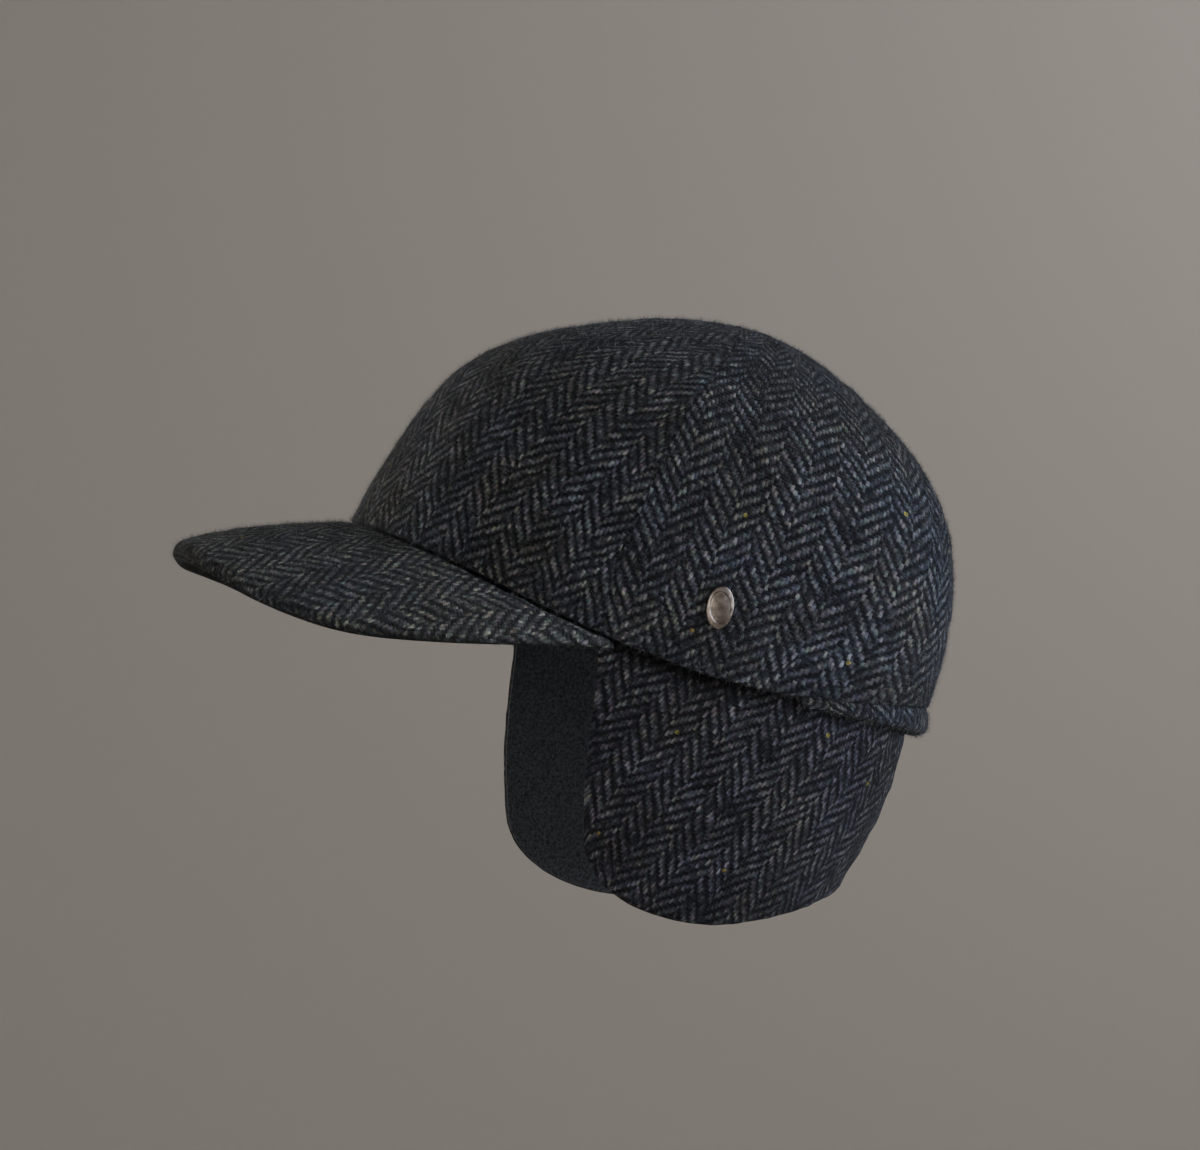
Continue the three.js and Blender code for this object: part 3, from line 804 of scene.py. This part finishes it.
frontSteps, sideSteps, _ = crown["steps"]
frontLean, sideLean = crown["lean"]
frontPanel = sewPanel("front_panel", lambda rise: -seamTurn(rise), seamTurn, frontSteps, frontLean)
leftPanel = sewPanel("left_panel", seamTurn, lambda rise: math.pi, sideSteps, sideLean)
rightPanel = sewPanel("right_panel", lambda rise: math.pi, lambda rise: 2 * math.pi - seamTurn(rise),
                      sideSteps, sideLean)
print("crown sewn")

alongSeam, toSeam = peak["steps"]
peakPiece = sewCloth("peak_cloth", peakSurface, stations(alongSeam, peak["endSteps"], peak["endSteps"]),
                     stations(toSeam, 0, 0), peak["wall"], (None, None, None, peak["seam"]),
                     layCloth(peakUnrolled, leaning(peak["lean"])), peakInward, paintedShade=peakShade)
dress(peakPiece, "peak", peakWool, peakWool)
print("peak sewn")

flapLean = math.radians(flap["lean"])
flapFlat = layCloth(flapSurface, lambda sideways, lengthways: sideways * math.cos(flapLean)
                    + np.array([0, 0, math.sin(flapLean)]))
atFront, atFoot = flap["edgeShare"]
flapPiece = sewCloth("earflap_cloth", flapSurface, stations(flap["steps"][0], atFront, atFront),
                     stations(flap["steps"][1], atFoot, 0), flap["wall"],
                     (flap["edge"], flap["edge"], flap["edge"], None), flapFlat,
                     # painted shade under the crown's edge, as deep as the flap is drawn in
                     paintedShade=lambda a, b: flapPlace(a, b)[2])
dress(flapPiece, "earflap_band", flapWool)
print("earflaps sewn")


def rollHem():  # the turned hem behind, a rounded roll that tapers to both ends
    roundSteps, steps = hem["steps"]
    lean = math.radians(hem["lean"])
    flat = layCloth(hemSurface, lambda sideways, lengthways: sideways * math.sin(lean)
                    + lengthways * math.cos(lean))
    grid, column, row = newGrid("hem", roundSteps, steps)
    sheet = grid.loops.layers.uv.new("cloth")
    paintedShadeDepth = grid.verts.layers.float.new("paintedShadeDepth")
    for vert in grid.verts:
        vert[column], vert[row] = round((vert.co.x + 0.5) * roundSteps), round((vert.co.y + 0.5) * steps)
        # painted shade in the roll's upper and lower folds
        vert[paintedShadeDepth] = hem["paintedFoldShade"] * smooth(1 + math.cos(2 * math.pi * vert[column] / roundSteps))
        vert.co = hemSurface(vert[column] / roundSteps, vert[row] / steps)
    for face in grid.faces:
        face.smooth = True
        for loop in face.loops:
            loop[sheet].uv = flat(loop.vert[column] / roundSteps, loop.vert[row] / steps)
    bmesh.ops.remove_doubles(grid, verts=grid.verts[:], dist=1e-6)
    bmesh.ops.holes_fill(grid, edges=[edge for edge in grid.edges if edge.is_boundary], sides=0)
    bmesh.ops.recalc_face_normals(grid, faces=grid.faces[:])
    return linkMesh("rear_hem_cloth", grid)


hemPiece = dress(rollHem(), "rear_hem", crownWool)

pewter = pewterMaterial()
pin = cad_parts["pin_badge"]
pin.data.materials.clear()
pin.data.materials.append(pewter)
print("hem and pin made")


# loose fibres

fuzz = {
    "length": (0.4, 2.2),   # from most of them to a few, in mm
    "thickness": 0.14,      # that of the longest at its root, in mm
    "density": 1.14,        # fibres on a square millimetre
    "lean": 0.9,            # how far they lie over
    "uneven": (0.4, 1.1),   # from the least share of that to the most
    "bends": (0, 0, 0, 0.4),     # most are straight
    "tones": [(0.3, "#31363d"), (0.5, "#596169"), (0.7, "#8e9497")],
    "toneSize": 6,          # in mm
}


def fibreShape(bend):  # a tapered, bent hair with three sides, one unit tall
    hair = bmesh.new()
    bmesh.ops.create_cone(hair, segments=3, radius1=0.5, radius2=0, depth=1, cap_ends=False,
                          matrix=Matrix.Translation((0, 0, 0.5)))
    if bend:
        upright = [edge for edge in hair.edges if abs(edge.verts[0].co.z - edge.verts[1].co.z) > 0.5]
        bmesh.ops.subdivide_edges(hair, edges=upright, cuts=1)
    thin = fuzz["thickness"] / fuzz["length"][1]
    for vert in hair.verts:
        vert.co = (vert.co.x * thin + bend * vert.co.z ** 2, vert.co.y * thin, vert.co.z)
    mesh = bpy.data.meshes.new("fibre")
    hair.to_mesh(mesh)
    hair.free()
    return mesh


def addFuzz(piece, slot, material, seed):
    draw = random.Random(seed)
    shapes = [fibreShape(bend) for bend in fuzz["bends"]]
    mesh = piece.data
    outer = [face for face in mesh.polygons if face.material_index == 0]
    areas = [face.area for face in outer]
    nap = bmesh.new()
    for face in draw.choices(outer, weights=areas, k=int(sum(areas) / mm ** 2 * fuzz["density"])):
        corners = [mesh.vertices[index].co for index in face.vertices]
        along, across = draw.random(), draw.random()
        root = corners[0].lerp(corners[1], along).lerp(corners[-1].lerp(corners[-2], along), across)
        tilt = Vector([draw.gauss(0, 1) for _ in range(3)]).normalized()
        rise = (face.normal + tilt * fuzz["lean"] * draw.uniform(*fuzz["uneven"])).normalized()
        place = Matrix.LocRotScale(root, rise.to_track_quat("Z", "X"),
                                   Vector((1, 1, 1)) * mix(*fuzz["length"], draw.random() ** 2) * mm)
        shape = draw.choice(shapes)
        shape.transform(place)
        nap.from_mesh(shape)
        shape.transform(place.inverted())
    fuzzPiece = linkMesh(piece.name.replace("_cloth", "_fuzz"), nap)
    fuzzPiece.data.materials.append(material)
    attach(fuzzPiece, "root")


def fibreMaterial():
    # single fibres of the wool: matt, from dark to pale grey, with a slight shine along them
    material, tree = newMaterial("loose wool fibre")
    place = addNode(tree, "TexCoord").outputs["Object"]
    drift = addNode(tree, "TexNoise", {"Vector": place, "Scale": 1 / (fuzz["toneSize"] * mm), "Detail": 2})
    tone = addNode(tree, "ValToRGB", {"Fac": drift.outputs["Fac"]}, stops=fuzz["tones"])
    shader = addNode(tree, "BsdfPrincipled", {"Base Color": tone.outputs["Color"], "Roughness": 0.8,
                                              "Specular IOR Level": 0.3})
    addNode(tree, "OutputMaterial", {"Surface": shader.outputs[0]})
    return material


fibre = fibreMaterial()
for seed, (piece, slot) in enumerate(((frontPanel, "crown_wool"), (leftPanel, "crown_wool"),
                                      (rightPanel, "crown_wool"), (hemPiece, "crown_wool"),
                                      (peakPiece, "peak_wool"), (flapPiece, "flap_wool"))):
    addFuzz(piece, slot, fibre, seed)
print("loose fibres added")


# studio

studio = {
    "floorZ": -1500,        # in mm, as the sizes below
    "floorRadius": 3800,
    "wallHeight": 5100,
    "cove": 900,            # radius of the curve from floor to wall
    "steps": (12, 72),      # up the curve and round the floor
    "world": ("#e8e6e2", 0.1),   # colour and strength of the light from all sides
    # name, place and target in mm, size in mm, power in watts, colour
    "lights": [
        ("window softbox", (930, 1900, 400), (0, 0, 20), 1600, 42, "#f0f3ff"),
        ("side fill", (2000, -1350, 100), (0, 0, 0), 1500, 19.5, "#fff4ea"),
        ("far fill", (-1700, -1700, 700), (0, 0, 0), 1500, 19, "#fff4ea"),
        ("far wall wash", (-2800, 2200, 700), (-3750, 1000, 100), 700, 35, "#f6f2ee"),
        ("rear wall wash", (2000, 2400, 500), (300, 3780, 0), 900, 26, "#f6f2ee"),
        ("front wall wash", (-2000, -2400, 500), (-300, -3780, 0), 900, 26, "#f6f2ee"),
        ("near wall wash", (2700, -1900, 500), (3780, -200, 0), 900, 22, "#f6f2ee"),
    ],
}


def makeStudio():  # a round cove of pale paper, the same from every side
    bowl = bmesh.new()
    radius, cove, height = studio["floorRadius"] * mm, studio["cove"] * mm, studio["wallHeight"] * mm
    low = studio["floorZ"] * mm
    bends, turns = studio["steps"]
    profile = [(mm, low), (radius * 0.3, low), (radius - cove, low)]
    for k in range(1, bends + 1):
        bend = math.pi / 2 * k / bends
        profile.append((radius - cove + cove * math.sin(bend), low + cove * (1 - math.cos(bend))))
    profile.append((radius, low + height))
    verts = [bowl.verts.new((x, 0, z)) for x, z in profile]
    edges = [bowl.edges.new(pair) for pair in zip(verts, verts[1:])]
    bmesh.ops.spin(bowl, geom=verts + edges, cent=(0, 0, 0), axis=(0, 0, 1), angle=2 * math.pi, steps=turns,
                   use_merge=True)
    bmesh.ops.remove_doubles(bowl, verts=bowl.verts[:], dist=2 * mm)
    bmesh.ops.recalc_face_normals(bowl, faces=bowl.faces[:])
    for face in bowl.faces:
        face.smooth = True
    paper = linkMesh("studio_paper", bowl)
    paper.data.materials.append(floorMaterial())


def aim(thing, place, target):
    thing.location = place
    thing.rotation_euler = (Vector(target) - Vector(place)).to_track_quat("-Z", "Y").to_euler()


def makeLights():
    for name, place, target, size, power, tint in studio["lights"]:
        lamp = bpy.data.lights.new(name, "AREA")
        lamp.shape, lamp.size, lamp.energy, lamp.color = "DISK", size * mm, power, colour(tint)[:3]
        thing = bpy.data.objects.new(name, lamp)
        bpy.context.scene.collection.objects.link(thing)
        aim(thing, Vector(place) * mm, Vector(target) * mm)
    world = bpy.data.worlds.new("studio light")
    world.use_nodes = True
    world.node_tree.nodes["Background"].inputs["Color"].default_value = colour(studio["world"][0])
    world.node_tree.nodes["Background"].inputs["Strength"].default_value = studio["world"][1]
    bpy.context.scene.world = world


view = {
    "yaw": 11,              # degrees from the cap's left side towards its front
    "rise": 2,
    "distance": 3000,       # in mm
    "width": 414,           # mm across the frame at the cap
    "aim": (-14.835, 22.425),    # how far right and up of the origin the frame's middle lies, in mm
    "sensor": 36,
}


def makeCamera():
    yaw, rise = math.radians(view["yaw"]), math.radians(view["rise"])
    towards = Vector((math.cos(yaw) * math.cos(rise), -math.sin(yaw) * math.cos(rise), math.sin(rise)))
    right = Vector((math.sin(yaw), math.cos(yaw), 0))
    target = (right * view["aim"][0] + towards.cross(right) * view["aim"][1]) * mm
    data = bpy.data.cameras.new("camera")
    data.sensor_width = view["sensor"]
    data.lens = view["sensor"] * view["distance"] / view["width"]
    camera = bpy.data.objects.new("camera", data)
    bpy.context.scene.collection.objects.link(camera)
    aim(camera, target + towards * view["distance"] * mm, target)
    bpy.context.scene.camera = camera


makeStudio()
makeLights()
makeCamera()
print("studio ready")
